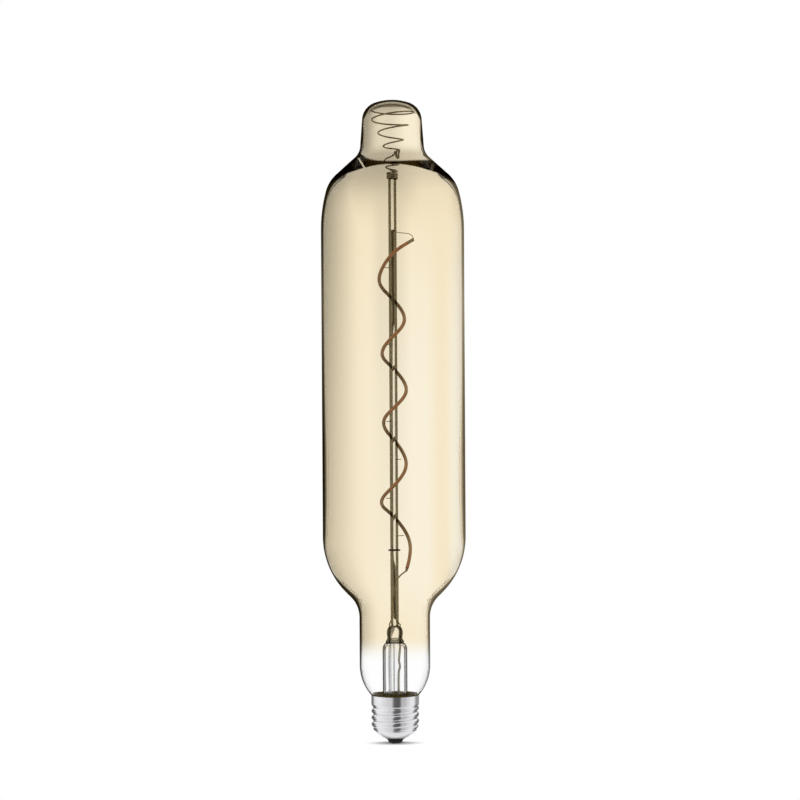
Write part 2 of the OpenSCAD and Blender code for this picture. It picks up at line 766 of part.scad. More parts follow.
module cap_cement() {
    top_z = rim_z - cement_drop;
    low_z = collar_z;
    glass = reverse(glass_outside);
    against = [for (p = glass) if (p.y > low_z && p.y < top_z) p];
    color([0.22, 0.19, 0.08])
        rotate_extrude()
            polygon(concat(
                [[collar_in_r, top_z], [collar_in_r, low_z], [radius_at(glass, low_z), low_z]],
                against,
                [[radius_at(glass, top_z), top_z]]));
}

// Driver
board_hole_d = outer_lead_d + 0.1;
capacitor_at = [2.6, -3.2];

module driver_board() {
    color([0.1, 0.35, 0.2])
        difference() {
            translate([0, 0, board_z])
                cylinder(d = board_d, h = board_t);
            for (p = board_lead_at)
                translate([p.x, p.y, board_z - 1])
                    cylinder(d = board_hole_d, h = board_t + 2);
        }
}

// A moulded block on the board with a row of legs down each long side
module chip_block(at, size, legs, pitch) {
    leg_w = 0.5;
    leg_l = 0.8;
    leg_h = 0.6;
    translate([at.x, at.y, board_top_z]) {
        translate([-size.x / 2, -size.y / 2, 0])
            cube(size);
        for (side = [-1, 1], k = [0:legs - 1])
            translate([(k - (legs - 1) / 2) * pitch - leg_w / 2, side * (size.y + leg_l) / 2 - leg_l / 2, 0])
                cube([leg_w, leg_l, leg_h]);
    }
}

module bridge_rectifier() {
    color([0.12, 0.12, 0.13])
        chip_block([-4.6, -3.4], [4.7, 3.8, 2.4], 2, 2.5);
}

module driver_chip() {
    color([0.12, 0.12, 0.13])
        chip_block([1.2, 5.2], [4.9, 3.6, 1.5], 4, 1.27);
}

module smoothing_capacitor() {
    groove_d = 0.5;
    color([0.15, 0.2, 0.35])
        translate([capacitor_at.x, capacitor_at.y, board_top_z])
            difference() {
                cylinder(d = capacitor_d, h = capacitor_h);
                translate([0, 0, 1.2])
                    rotate_extrude()
                        translate([capacitor_d / 2 + groove_d / 4, 0])
                            circle(d = groove_d, $fn = 24);
            }
}

module chip_resistors() {
    size = [1.6, 0.8, 0.5];
    color([0.2, 0.2, 0.2])
        for (k = [-1:1])
            translate([k * 2.4 - 2, -7.6, board_top_z])
                translate([-size.x / 2, -size.y / 2, 0])
                    cube(size);
}

module live_wire() {
    points = [
        [0, 0, contact_stem_top_z],
        [0, 0, contact_stem_top_z + live_wire_d],
        [1.8, 0, board_z - 0.8],
        [1.8, 0, board_z]
    ];
    wire(lead_path(points, 4), live_wire_d, [0, 1, 0], [0.75, 0.1, 0.1]);
}

module neutral_wire() {
    wall_r = thread_root_r - sheet_t;
    z = thread_z + neutral_wire_d;
    points = [
        [-7.4, 0, board_z],
        [-7.4, 0, board_z - 0.3],
        [-8.4, 0, z],
        [-wall_r + 1, 0, z],
        [-wall_r + 0.2, 0, z]
    ];
    wire(lead_path(points, 4), neutral_wire_d, [0, 1, 0], [0.72, 0.7, 0.6]);
}

envelope();
stem_flare();
stem_pinch();
exhaust_tube();
support_rod();
seal_wires();
outer_leads();
rear_lead();
front_lead();
lead_tie();
filament_holders();
filament_coating();
filament_strip();
led_chips();
upper_tab();
lower_tab();
top_spring();
screw_shell();
insulator();
centre_contact();
cap_cement();
driver_board();
bridge_rectifier();
driver_chip();
smoothing_capacitor();
chip_resistors();
live_wire();
neutral_wire();
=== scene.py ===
import math
import bpy
from mathutils import Matrix, Vector


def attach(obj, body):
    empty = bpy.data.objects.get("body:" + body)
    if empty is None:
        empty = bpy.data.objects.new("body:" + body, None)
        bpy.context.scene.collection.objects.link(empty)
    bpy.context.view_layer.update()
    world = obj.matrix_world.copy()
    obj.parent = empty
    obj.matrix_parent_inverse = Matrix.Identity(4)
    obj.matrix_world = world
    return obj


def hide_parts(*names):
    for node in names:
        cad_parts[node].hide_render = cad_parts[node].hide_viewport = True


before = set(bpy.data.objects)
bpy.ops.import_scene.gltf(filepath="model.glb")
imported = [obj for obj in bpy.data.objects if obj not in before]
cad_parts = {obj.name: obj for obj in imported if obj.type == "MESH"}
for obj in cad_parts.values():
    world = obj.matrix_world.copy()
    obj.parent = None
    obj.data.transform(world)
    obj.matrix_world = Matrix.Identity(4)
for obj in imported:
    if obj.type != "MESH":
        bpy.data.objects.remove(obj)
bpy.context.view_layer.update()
mm = 0.001
print("frame loaded:", len(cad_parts), "nodes")

# camera, as the photograph was taken: a little above the middle of the lamp
shot = {
    "place": (3.55, -1250.0, 203.0),
    "lens": 103.5, "sensor": 36.0,
    "tiltDown": 0.75, "roll": -0.33,  # degrees
    "clip": (0.05, 50.0),  # m
}


def takeAim(v):
    data = bpy.data.cameras.new("camera")
    data.lens = v["lens"]
    data.sensor_width = v["sensor"]
    data.clip_start, data.clip_end = v["clip"]
    camera = bpy.data.objects.new("camera", data)
    bpy.context.scene.collection.objects.link(camera)
    aim = Matrix.Rotation(math.radians(90.0 - v["tiltDown"]), 4, "X")
    roll = Matrix.Rotation(math.radians(v["roll"]), 4, "Z")
    camera.matrix_world = Matrix.Translation(Vector(v["place"]) * mm) @ aim @ roll
    bpy.context.scene.camera = camera


takeAim(shot)
print("camera set")


def grey(level):
    return (level, level, level, 1.0)


black, white = grey(0.0), grey(1.0)


# a number inside a material: sums and products of these add its Math nodes
class Value:
    def __init__(self, look, socket):
        self.look = look
        self.socket = socket

    def math(self, operation, *parts):
        return self.look.add("Math", {"operation": operation}, dict(enumerate(parts)))

    def __add__(self, other):
        return self.math("ADD", self, other)

    def __radd__(self, other):
        return self.math("ADD", other, self)

    def __sub__(self, other):
        return self.math("SUBTRACT", self, other)

    def __rsub__(self, other):
        return self.math("SUBTRACT", other, self)

    def __mul__(self, other):
        return self.math("MULTIPLY", self, other)

    def __rmul__(self, other):
        return self.math("MULTIPLY", other, self)

    def __truediv__(self, other):
        return self.math("DIVIDE", self, other)

    def __rtruediv__(self, other):
        return self.math("DIVIDE", other, self)

    def __abs__(self):
        return self.math("ABSOLUTE", self)

    def atLeast(self, other):  # the larger of the two
        return self.math("MAXIMUM", self, other)

    def over(self, limit):  # 1 above the limit, else 0
        return self.math("GREATER_THAN", self, limit)

    def other(self, name):  # another output of the same node
        return Value(self.look, self.socket.node.outputs[name])


# the unevenness that all metal and plastic shares
texture = {"patchDetail": 3.0, "patchEdge": (0.3, 0.7), "grainDetail": 4.0, "roughSpread": 0.1}


# the nodes of one material, or of the world
class Look:
    def __init__(self, tree):
        self.tree = tree
        tree.nodes.clear()

    def add(self, kind, settings=None, sockets=None, output=0):
        node = self.tree.nodes.new("ShaderNode" + kind)
        for name, setting in (settings or {}).items():
            if name == "stops":
                self.setStops(node.color_ramp, setting)
            elif name == "ease":
                node.color_ramp.interpolation = setting
            else:
                setattr(node, name, setting)
        for name, value in (sockets or {}).items():
            if isinstance(value, Value):
                self.tree.links.new(value.socket, node.inputs[name])
            else:
                node.inputs[name].default_value = value
        return Value(self, node.outputs[output])

    def setStops(self, ramp, stops):
        while len(ramp.elements) < len(stops):
            ramp.elements.new(1.0)
        for element, (place, colour) in zip(ramp.elements, stops):
            element.position = place
            element.color = colour if isinstance(colour, tuple) else grey(colour)

    def place(self, axis):  # mm in the lamp's own frame
        return self.add("SeparateXYZ", None, {0: self.add("TexCoord", None, None, "Object")}, axis) / mm

    def side(self):  # cosine of the bearing from -X round the axis
        spot = self.add("TexCoord", None, None, "Object")
        flat = self.add("VectorMath", {"operation": "MULTIPLY"}, {0: spot, 1: (-1.0, 1.0, 0.0)})
        bearing = self.add("VectorMath", {"operation": "NORMALIZE"}, {0: flat})
        return self.add("SeparateXYZ", None, {0: bearing}, "X")

    def facing(self):  # 0 where the surface is met square on, 1 edge on
        return self.add("LayerWeight", None, {"Blend": 0.5}, "Facing")

    # 1 in light that something has mirrored, 0 in what is seen straight or through glass;
    # what is seen straight has a ray depth of 0 on a surface, and of 1 in the world
    def mirrored(self, straight):
        depth = self.add("LightPath", None, None, "Ray Depth")
        return (depth - depth.other("Transmission Depth")).over(straight + 0.5)

    def blend(self, factor, low, high):  # two colours
        return self.add("Mix", {"data_type": "RGBA"}, {0: factor, 6: low, 7: high}, 2)

    def rise(self, value, start, end):  # 0 up to start, 1 from end
        sockets = {"Value": value, "From Min": start, "From Max": end}
        return self.add("MapRange", {"interpolation_type": "SMOOTHSTEP"}, sockets)

    def byHeight(self, height, tall, stops):  # changes with height, from (height, value) stops
        stops = [(at / tall, value) for at, value in stops]
        return self.add("ValToRGB", {"stops": stops}, {"Fac": height / tall})

    def noise(self, size, detail):  # lumps of about this size in mm
        spot = self.add("TexCoord", None, None, "Object")
        return self.add("TexNoise", None, {"Vector": spot, "Scale": 1.0 / (size * mm), "Detail": detail})

    def patches(self, size):  # 0 and 1, in soft patches
        return self.rise(self.noise(size, texture["patchDetail"]), *texture["patchEdge"])

    def surface(self, sockets):
        return self.add("BsdfPrincipled", None, sockets)

    def grained(self, colour, v):  # a surface with fine grain in its roughness and its relief
        grain = self.noise(v["grain"], texture["grainDetail"])
        relief = self.add("Bump", None, {"Height": grain, "Strength": 1.0, "Distance": v["depth"] * mm})
        sockets = {
            "Base Color": colour, "Metallic": v.get("metal", 0.0), "Normal": relief,
            "Roughness": v["rough"] + (grain - 0.5) * v.get("roughSpread", texture["roughSpread"])}
        sockets.update(v.get("also", {}))
        return self.surface(sockets)

    def dull(self, colour, rough):  # a surface without any shine
        return self.surface({"Base Color": colour, "Roughness": rough, "Specular IOR Level": 0.0})

    def glass(self, colour, ior):
        return self.surface({"Base Color": colour, "Roughness": 0.0, "IOR": ior, "Transmission Weight": 1.0})

    def through(self, colour):  # light passes straight on, coloured
        return self.add("BsdfTransparent", None, {"Color": colour})

    def mixed(self, factor, first, second):  # two surfaces
        return self.add("MixShader", None, {0: factor, 1: first, 2: second})

    def finish(self, surface, output="OutputMaterial"):
        end = self.tree.nodes.new("ShaderNode" + output)
        self.tree.links.new(surface.socket, end.inputs["Surface"])


def newMaterial(name):
    material = bpy.data.materials.new(name)
    material.use_nodes = True
    return material, Look(material.node_tree)


# studio: plain white to look at; metal and glass mirror a sheet round the lamp, a ceiling and dark flags
studio = {
    "fill": 0.62,  # the soft light on everything
    # the sheet's brightness, by share of a whole turn from the back, by the left, front and right
    "sheet": [
        (0.0, 1.0), (0.20, 0.97), (0.28, 0.98), (0.345, 0.85), (0.40, 0.74), (0.45, 0.72), (0.487, 0.12),
        (0.56, 0.10), (0.595, 0.60), (0.63, 0.56), (0.675, 0.74), (0.73, 0.92), (0.80, 0.95), (1.0, 1.0)],
    "ceiling": 0.85, "above": (0.80, 0.92), "under": (-0.97, -0.86),  # steepness, from -1 down to 1 up
    # the flags on both sides of the back, and narrower ones at the height that upright walls mirror
    "flags": [
        (0.055, 0.0), (0.08, 1.0), (0.175, 1.0), (0.215, 0.0),
        (0.775, 0.0), (0.81, 0.95), (0.92, 0.95), (0.945, 0.0)],
    "narrowFlags": [
        (0.035, 0.0), (0.055, 0.85), (0.14, 0.85), (0.17, 0.0),
        (0.785, 0.0), (0.83, 0.7), (0.94, 0.7), (0.965, 0.0)],
    "flagLevel": 0.10, "flagMiddle": -0.14, "flagEnd": (0.36, 0.50), "narrowEnd": (0.03, 0.07),
}


def lightWorld(v):
    world = bpy.data.worlds.new("studio")
    bpy.context.scene.world = world
    world.use_nodes = True
    world.cycles.sampling_method = "NONE"
    look = Look(world.node_tree)
    across = look.add("SeparateXYZ", None, {0: look.add("TexCoord", None, None, "Generated")})
    turn = across.math("ARCTAN2", across, 0.0 - across.other("Y")) / (2.0 * math.pi) + 0.5
    steep = across.other("Z")
    ceiling = grey(v["ceiling"])
    sheet = look.add("ValToRGB", {"ease": "EASE", "stops": v["sheet"]}, {"Fac": turn})
    sheet = look.blend(look.rise(steep, *v["under"]), ceiling, sheet)
    sheet = look.blend(look.rise(steep, *v["above"]), sheet, ceiling)
    apart = abs(steep - v["flagMiddle"])
    flags = look.add("ValToRGB", {"stops": v["flags"]}, {"Fac": turn})
    flags = flags * (1.0 - look.rise(apart, *v["flagEnd"]))
    narrow = look.add("ValToRGB", {"stops": v["narrowFlags"]}, {"Fac": turn})
    flags = look.blend(look.rise(apart, *v["narrowEnd"]), narrow, flags)
    colour = look.blend(look.mirrored(1), white, look.blend(flags, sheet, grey(v["flagLevel"])))
    soft = look.add("LightPath", None, None, "Is Diffuse Ray")
    colour = look.blend(soft, colour, grey(v["fill"]))
    look.finish(look.add("Background", None, {"Color": colour, "Strength": 1.0}), "OutputWorld")


# soft boxes over both shoulders of the camera
softBoxes = {
    "boxes": [((-1.5, -1.3, 1.1), 26.0), ((1.6, -1.2, 1.2), 30.0)],  # place in m, watts
    "side": 1.5, "aim": (0.0, 0.0, 0.17),
}


def hangSoftBoxes(v):
    for number, (place, watts) in enumerate(v["boxes"]):
        data = bpy.data.lights.new("softbox" + str(number), "AREA")
        data.shape = "SQUARE"
        data.size = v["side"]
        data.energy = watts
        lamp = bpy.data.objects.new(data.name, data)
        lamp.location = place
        lamp.rotation_euler = (Vector(v["aim"]) - lamp.location).to_track_quat("-Z", "Y").to_euler()
        lamp.visible_glossy = False
        lamp.visible_transmission = False
        lamp.visible_camera = False
        bpy.context.scene.collection.objects.link(lamp)


# the floor keeps the lamp's contact shadow, deepened by painted shadow: grey ground only in an ellipse placed
# and flattened like that shadow; round it the floor fades to plain white
paleFloor = {
    "side": 8.0, "colour": grey(0.76), "rough": 0.9,
    "shadeAt": (0.0, -0.0012, 0.0), "shadeFlat": (1.0, 2.2, 1.0),  # the shadow's middle, how flat it lies
    "shadeEnd": (0.008, 0.018),  # m
}


def layFloor(v):
    half = v["side"] / 2.0
    corners = [(-half, -half, 0.0), (half, -half, 0.0), (half, half, 0.0), (-half, half, 0.0)]
    mesh = bpy.data.meshes.new("floor")
    mesh.from_pydata(corners, [], [(0, 1, 2, 3)])
    floor = bpy.data.objects.new("floor", mesh)
    bpy.context.scene.collection.objects.link(floor)
    material, look = newMaterial("pale floor")
    spot = look.add("TexCoord", None, None, "Object")
    spot = look.add("VectorMath", {"operation": "SUBTRACT"}, {0: spot, 1: v["shadeAt"]})
    spot = look.add("VectorMath", {"operation": "MULTIPLY"}, {0: spot, 1: v["shadeFlat"]})
    away = look.add("VectorMath", {"operation": "LENGTH"}, {0: spot}, "Value")
    beyond = look.rise(away, *v["shadeEnd"]) * (1.0 - look.add("LightPath", None, None, "Is Diffuse Ray"))
    plain = look.add("Emission", None, {"Color": white, "Strength": 1.0})
    ground = look.mixed(beyond, look.dull(v["colour"], v["rough"]), plain)
    # mirrored far away, the floor gives way to the studio below it
    look.finish(look.mixed(beyond * look.mirrored(0), ground, look.through(white)))
    mesh.materials.append(material)


lightWorld(studio)
hangSoftBoxes(softBoxes)
layFloor(paleFloor)
bounces = bpy.context.scene.cycles  # a view of the lamp's rear passes many faces of glass
bounces.max_bounces = 40
bounces.transmission_bounces = 40
bounces.glossy_bounces = 16
bounces.transparent_max_bounces = 40
print("studio lit")


# metal and plastic: a base colour with a little mottle
def plainMaterial(name, v):
    material, look = newMaterial(name)
    colour = look.blend(look.patches(v["mottle"]), v["colour"], v["worn"])
    # painted shade: the foot's dark colour stands for the dark insulator and shadow that a bowl mirrors
    if "foot" in v:  # another colour lower down
        colour = look.blend(look.rise(look.place("Z"), *v["foot"]), v["footShade"], colour)
    if "across" in v:  # another colour on the left
        colour = look.blend(look.rise(look.place("X"), *v["across"]), v["leftColour"], colour)
    look.finish(look.grained(colour, v))
    return material


# every glass lets lamps and soft light reach what stands inside
def finishGlass(look, glass, shadow):
    ray = look.add("LightPath", None, None, "Is Shadow Ray")
    look.finish(look.mixed(ray.atLeast(ray.other("Is Diffuse Ray")), glass, look.through(shadow)))


# glass down in the cap has the dark cement behind it
cementBehind = {
    "colour": (0.055, 0.042, 0.010, 1.0), "rough": 0.8, "top": (25.9, 26.5),
    "lift": 1.5, "liftFrom": (0.45, 0.75),  # met at a glance, the envelope's wall shows it higher up
}


def seated(look, glass, lift=0.0):
    cement = look.dull(cementBehind["colour"], cementBehind["rough"])
    return look.mixed(look.rise(look.place("Z") - lift, *cementBehind["top"]), cement, glass)


def meshPiece(name, points, faces, material, stands):
    mesh = bpy.data.meshes.new(name)
    mesh.from_pydata(points, [], faces)
    mesh.shade_smooth()
    mesh.materials.append(material)
    piece = bpy.data.objects.new(name, mesh)
    bpy.context.scene.collection.objects.link(piece)
    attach(piece, "root")
    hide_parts(*stands)
    return piece


# a finish for a node that keeps its CAD shape
def setBy(node, material):
    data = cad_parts[node].data
    data.materials.clear()
    data.materials.append(material)


def anglesRound(sides):
    return [2.0 * math.pi * side / sides for side in range(sides)]


# a closed skin turned about the axis, from a closed outline of (radius, height) in mm
def turned(outline, sides):
    points, faces, rings = [], [], []
    for radius, height in outline:
        if radius < 1e-6:
            rings.append([len(points)])
            points.append((0.0, 0.0, height * mm))
            continue
        rings.append(list(range(len(points), len(points) + sides)))
        for angle in anglesRound(sides):
            points.append((radius * mm * math.cos(angle), radius * mm * math.sin(angle), height * mm))
    for here, there in zip(rings, rings[1:] + rings[:1]):
        if len(here) == 1 and len(there) == 1:
            continue
        for side in range(sides):
            after = (side + 1) % sides
            if len(here) == 1:
                faces.append((here[0], there[side], there[after]))
            elif len(there) == 1:
                faces.append((here[side], there[0], here[after]))
            else:
                faces.append((here[side], there[side], there[after], here[after]))
    return points, faces


# the faces of a tube of rings, with a flat cap at each end
def tubeFaces(rings, sides):
    faces = []
    for start in range(0, (rings - 1) * sides, sides):
        for side in range(sides):
            after = (side + 1) % sides
            faces.append((start + side, start + after, start + sides + after, start + sides + side))
    faces.append(tuple(range(sides - 1, -1, -1)))
    faces.append(tuple(range((rings - 1) * sides, rings * sides)))
    return faces


# a wire along a path in mm, from the corners of its section: one list for all points, or one for each
def wireSkin(path, sections):
    path = [Vector(point) for point in path]
    last = len(path) - 1
    if not isinstance(sections[0], list):
        sections = [sections] * len(path)
    points = []
    across = Vector((0.0, 0.0, 1.0))
    for index, (point, section) in enumerate(zip(path, sections)):
        ahead = (path[min(index + 1, last)] - path[max(index - 1, 0)]).normalized()
        across = across - ahead * across.dot(ahead)
        if across.length < 1e-4:
            across = ahead.orthogonal()
        across.normalize()
        other = ahead.cross(across)
        points += [tuple((point + across * a + other * b) * mm) for a, b in section]
    return points, tubeFaces(len(path), len(sections[0]))


def roundSection(radius, sides):
    return [(radius * math.cos(angle), radius * math.sin(angle)) for angle in anglesRound(sides)]


def flatSection(width, thick):
    a, b = width / 2.0, thick / 2.0
    return [(a, b), (-a, b), (-a, -b), (a, -b)]


# value at a fraction between listed ones, on a smooth curve
def between(values, place):
    top = len(values) - 1
    index = min(int(place), top - 1)
    t = place - index
    a, b, c, d = (values[min(max(index + k, 0), top)] for k in (-1, 0, 1, 2))
    square, cube = 2 * a - 5 * b + 4 * c - d, 3 * b - a - 3 * c + d
    return 0.5 * (2 * b + (c - a) * t + square * t * t + cube * t ** 3)


def smoothPath(points, steps):
    top = len(points) - 1
    lists = [[point[axis] for point in points] for axis in range(3)]
    return [tuple(between(values, k / steps) for values in lists) for k in range(top * steps + 1)]


def sine(degrees):
    return math.sin(math.radians(degrees))


def cosine(degrees):
    return math.cos(math.radians(degrees))


arcStep = 2.5  # degrees, the longest step round an arc


# points down an outline of tangent stretches: (0, length) or (radius, turn outwards in degrees)
def strideDown(stretches, start, slope, inset):
    points = []
    r, z = start
    for radius, turn in stretches:
        if radius == 0:
            r, z = r + turn * sine(slope), z - turn * cosine(slope)
            points.append((r, z))
            continue
        side = 1.0 if turn > 0 else -1.0
        arm = side * (radius + side * inset)
        steps = math.ceil(abs(turn) / arcStep)
        begin = (r, z)
        for k in range(1, steps + 1):
            here = slope + turn * k / steps
            r = begin[0] + arm * (cosine(slope) - cosine(here))
            z = begin[1] + arm * (sine(slope) - sine(here))
            points.append((r, z))
        slope += turn
    return points


# glass envelope, blown in one piece, with the amber film down to the neck
envelope = {
    "height": 349.4, "bodyR": 38.85, "wall": 1.1,
    "domeR": 29.2, "cornerR": 10.0, "tipR": 16.2, "tipSide": 14.8, "tipTaper": 4.2, "tipFilletR": 9.0,
    "upperSlope": 48.0, "upperTurnR": 19.0, "upperEaseR": 80.0, "upperEase": 15.0,
    "lowerTurnR": 43.0, "lowerSlope": 45.0, "neckFilletR": 16.0, "neckR": 19.2, "neckLength": 26.0,
    "heelR": 24.4, "seatFilletR": 4.0, "seatR": 11.4, "sealHeight": 15.0, "rimHeight": 25.7,
    "sides": 192,
}

# stops and pairs go by height or sideways place in mm, or by facing: 0 square on, 1 edge on
amberGlass = {
    "tall": 350.0, "wall": envelope["wall"], "ior": 1.12, "shadow": (0.95, 0.92, 0.84, 1.0),
    # clearDark and tintDark are the outline's painted shade, on clear glass and on the film
    "clear": (0.995, 0.997, 0.995, 1.0), "clearDark": (0.10, 0.10, 0.10, 1.0), "filmFrom": (45.0, 58.0),
    "tint": (0.956, 0.885, 0.739, 1.0), "tintDark": (0.08, 0.06, 0.02, 1.0),
    "litTint": (0.982, 0.942, 0.846, 1.0), "filmShadeTint": (0.63, 0.585, 0.49, 1.0),
    # painted shade: the film is made darker towards -X, on the shoulder, under the dome, and in places on the
    # left and middle
    "filmShadeSide": (0.42, 1.02),
    "filmShadeBy": [(60.0, 0.6), (110.0, 0.5), (186.0, 0.62), (240.0, 0.76), (285.0, 0.9), (350.0, 0.95)],
    "shoulderFrom": (278.0, 322.0), "shoulderTo": (319.0, 325.0), "shoulderShade": 0.62,
    "lessFrom": (7.0, 17.0), "less": 0.7, "lessTo": (302.0, 308.0), "lessDrop": 0.6,  # less so on the right
    "domeFrom": (342.0, 346.5), "domeShade": 0.9, "domeLeft": 0.15,
    "leftSide": (-2.0, 9.0),
    "leftBy": [(292.0, 0.0), (298.0, 0.06), (302.5, 0.14), (306.0, 0.26), (318.0, 0.28), (345.0, 0.30)],
    "coreAt": -1.5, "coreSide": (4.0, 12.0),
    "coreBy": [
        (85.0, 0.0), (115.0, 0.04), (190.0, 0.09), (235.0, 0.18), (285.0, 0.20), (300.0, 0.05), (312.0, 0.0)],
    # painted light: its colour is paler on the right, but not in a warm band before the rim
    "paleSide": (-40.0, 14.0),
    "paleBy": [
        (60.0, 0.4), (90.0, 0.9), (190.0, 0.9), (240.0, 0.65), (275.0, 0.25), (290.0, 0.0), (319.0, 0.0),
        (324.0, 0.6), (345.0, 0.6)],
    "warmSide": (17.0, 26.0), "warm": 0.8, "rimSide": (28.0, 34.0), "rimPale": 1.4,
    # the outline by height, its darkening a painted shade: the wall's radius as a line of sight meets it,
    # from which facing the wall darkens, where that is full, and how dark
    "outline": [
        (25.0, 13.0, 0.72, 0.80, 0.80), (45.0, 19.2, 0.66, 0.73, 0.80), (57.0, 19.2, 0.56, 0.72, 0.90),
        (70.0, 19.2, 0.56, 0.72, 0.92), (78.6, 60.0, 0.57, 0.72, 0.92), (86.6, 60.0, 0.66, 0.76, 0.90),
        (92.6, 40.0, 0.77, 0.84, 0.85), (104.6, 40.0, 0.76, 0.84, 0.85), (112.6, 40.0, 0.64, 0.80, 0.92),
        (132.0, 38.8, 0.58, 0.80, 0.96), (159.0, 38.8, 0.58, 0.80, 0.96), (186.0, 38.8, 0.66, 0.78, 0.88),
        (214.0, 38.8, 0.71, 0.77, 0.77), (241.0, 38.8, 0.72, 0.77, 0.64), (268.0, 38.8, 0.72, 0.77, 0.80),
        (284.0, 38.8, 0.70, 0.77, 0.88), (296.0, 40.0, 0.68, 0.76, 0.92),
        (299.0, 60.0, 0.675, 0.735, 0.94), (301.5, 80.0, 0.645, 0.705, 0.95),
        (304.7, 100.0, 0.61, 0.67, 0.95), (307.0, 100.0, 0.595, 0.65, 0.95),
        (309.5, 100.0, 0.59, 0.65, 0.95), (311.5, 100.0, 0.60, 0.66, 0.95),
        (316.0, 40.0, 0.70, 0.78, 0.95), (322.0, 40.0, 0.64, 0.72, 0.95), (328.0, 17.0, 0.52, 0.64, 0.95),
        (334.0, 16.4, 0.58, 0.70, 0.90), (338.0, 16.4, 0.62, 0.74, 0.80), (342.0, 10.0, 0.47, 0.60, 0.97),
        (347.0, 10.0, 0.56, 0.68, 0.96), (350.0, 29.0, 0.72, 0.80, 0.75)],
    "outlineSoft": 0.03,
    # painted light: below these heights the outline's painted shade is weaker on the right
    "paleRightOutline": 0.13, "paleRightEnds": (318.0, 328.0),  # paler on the right below this height
    # where the wall slopes, the same line of sight meets the inner face lower or higher: from, to, by
    "slopes": [((298.0, 305.0), (313.0, 320.0), 0.75), ((71.0, 79.0), (98.0, 112.0), -0.75)],
    # painted shade: the dark band at the fold of the shoulder; its lower and upper height change with the
    # facing, the upper one also with the side
    "foldShade": (0.03, 0.018, 0.004, 1.0), "foldFrom": (0.30, 0.38), "foldFacing": 0.4,
    "foldLow": 312.3, "foldLowBy": -19.0, "foldLowSoft": 0.4,
    "foldTop": 314.5, "foldTopBy": 11.0, "foldTopSide": 8.0, "foldTopSoft": (0.8, 0.5),
    "foldEaseFrom": (0.10, 0.22), "foldEase": 0.05,
    # slanting highlights that break it: sideways place at a height, slant, where each ends, strength
    "glints": [(-18.6, 318.0, 0.53, 0.35, 0.75, 1.0), (22.7, 313.8, -0.45, 0.4, 1.5, 0.3)],
    # painted shade: a second dark arc under the dome
    "arcShade": (0.12, 0.09, 0.04, 1.0), "arcFrom": (342.5, 344.0), "arcSides": ((0.30, 0.36), (0.42, 0.48)),
    "arc": 0.7,
}


# painted shade on the film: darker towards -X, on the shoulder, under the dome, in the middle and on the left
def filmPaintedShade(look, v, height, across):
    filmShade = look.rise(look.side(), *v["filmShadeSide"]) * look.byHeight(height, v["tall"], v["filmShadeBy"])
    shoulder = look.rise(height, *v["shoulderFrom"]) - look.rise(height, *v["shoulderTo"])
    less = (1.0 - look.rise(height, *v["lessTo"]) * v["lessDrop"]) * v["less"]
    shoulder = shoulder * v["shoulderShade"] * (1.0 - look.rise(across, *v["lessFrom"]) * less)
    dome = look.rise(height, *v["domeFrom"]) * (look.side() * v["domeLeft"] + v["domeShade"])
    core = 1.0 - look.rise(abs(across - v["coreAt"]), *v["coreSide"])
    left = 1.0 - look.rise(across, *v["leftSide"])
    filmShade = filmShade.atLeast(shoulder).atLeast(dome) + core * look.byHeight(height, v["tall"], v["coreBy"])
    return filmShade + left * look.byHeight(height, v["tall"], v["leftBy"])


# the film's own amber, made paler on the right by painted light
def filmTintAndLight(look, v, height, across):
    warm = look.rise(across, *v["warmSide"]) - look.rise(across, *v["rimSide"]) * v["rimPale"]
    pale = look.rise(across, *v["paleSide"]) * (1.0 - warm * v["warm"])
    return look.blend(pale * look.byHeight(height, v["tall"], v["paleBy"]), v["tint"], v["litTint"])


# start, full and depth as red, green and blue; the inner face starts in the same line of sight, by alpha
def outlineStops(v):
    stops = []
    for at, radius, start, full, depth in v["outline"]:
        within = min(1.0, radius / (radius - v["wall"]) * math.sqrt(1.0 - (1.0 - start) ** 2))
        stops.append((at, (start, full, depth, 1.0 - math.sqrt(1.0 - within ** 2))))
    return stops


# painted shade: the arc under the dome and the band at the shoulder's fold, broken by painted highlights
def foldedGlass(look, v, glass, height, across, facing):
    begin, end = v["arcSides"]
    arc = (look.rise(facing, *begin) - look.rise(facing, *end)) * look.rise(height, *v["arcFrom"]) * v["arc"]
    glass = look.mixed(arc, glass, look.through(v["arcShade"]))
    steep = facing - v["foldFacing"]
    low = v["foldLow"] + steep * v["foldLowBy"]
    top = v["foldTop"] + steep * (look.side() * v["foldTopSide"] + v["foldTopBy"])
    soft, (below, above) = v["foldLowSoft"], v["foldTopSoft"]
    fold = look.rise(height, low - soft, low + soft) - look.rise(height, top - below, top + above)
    fold = fold * look.rise(facing, *v["foldFrom"])
    fold = fold * (1.0 - look.rise(steep, *v["foldEaseFrom"]) * v["foldEase"])
    for at, level, slant, start, full, strength in v["glints"]:
        away = abs(across - at + (height - level) * slant)
        fold = fold * (1.0 - (1.0 - look.rise(away, start, full)) * strength)
    return look.mixed(fold, glass, look.through(v["foldShade"]))
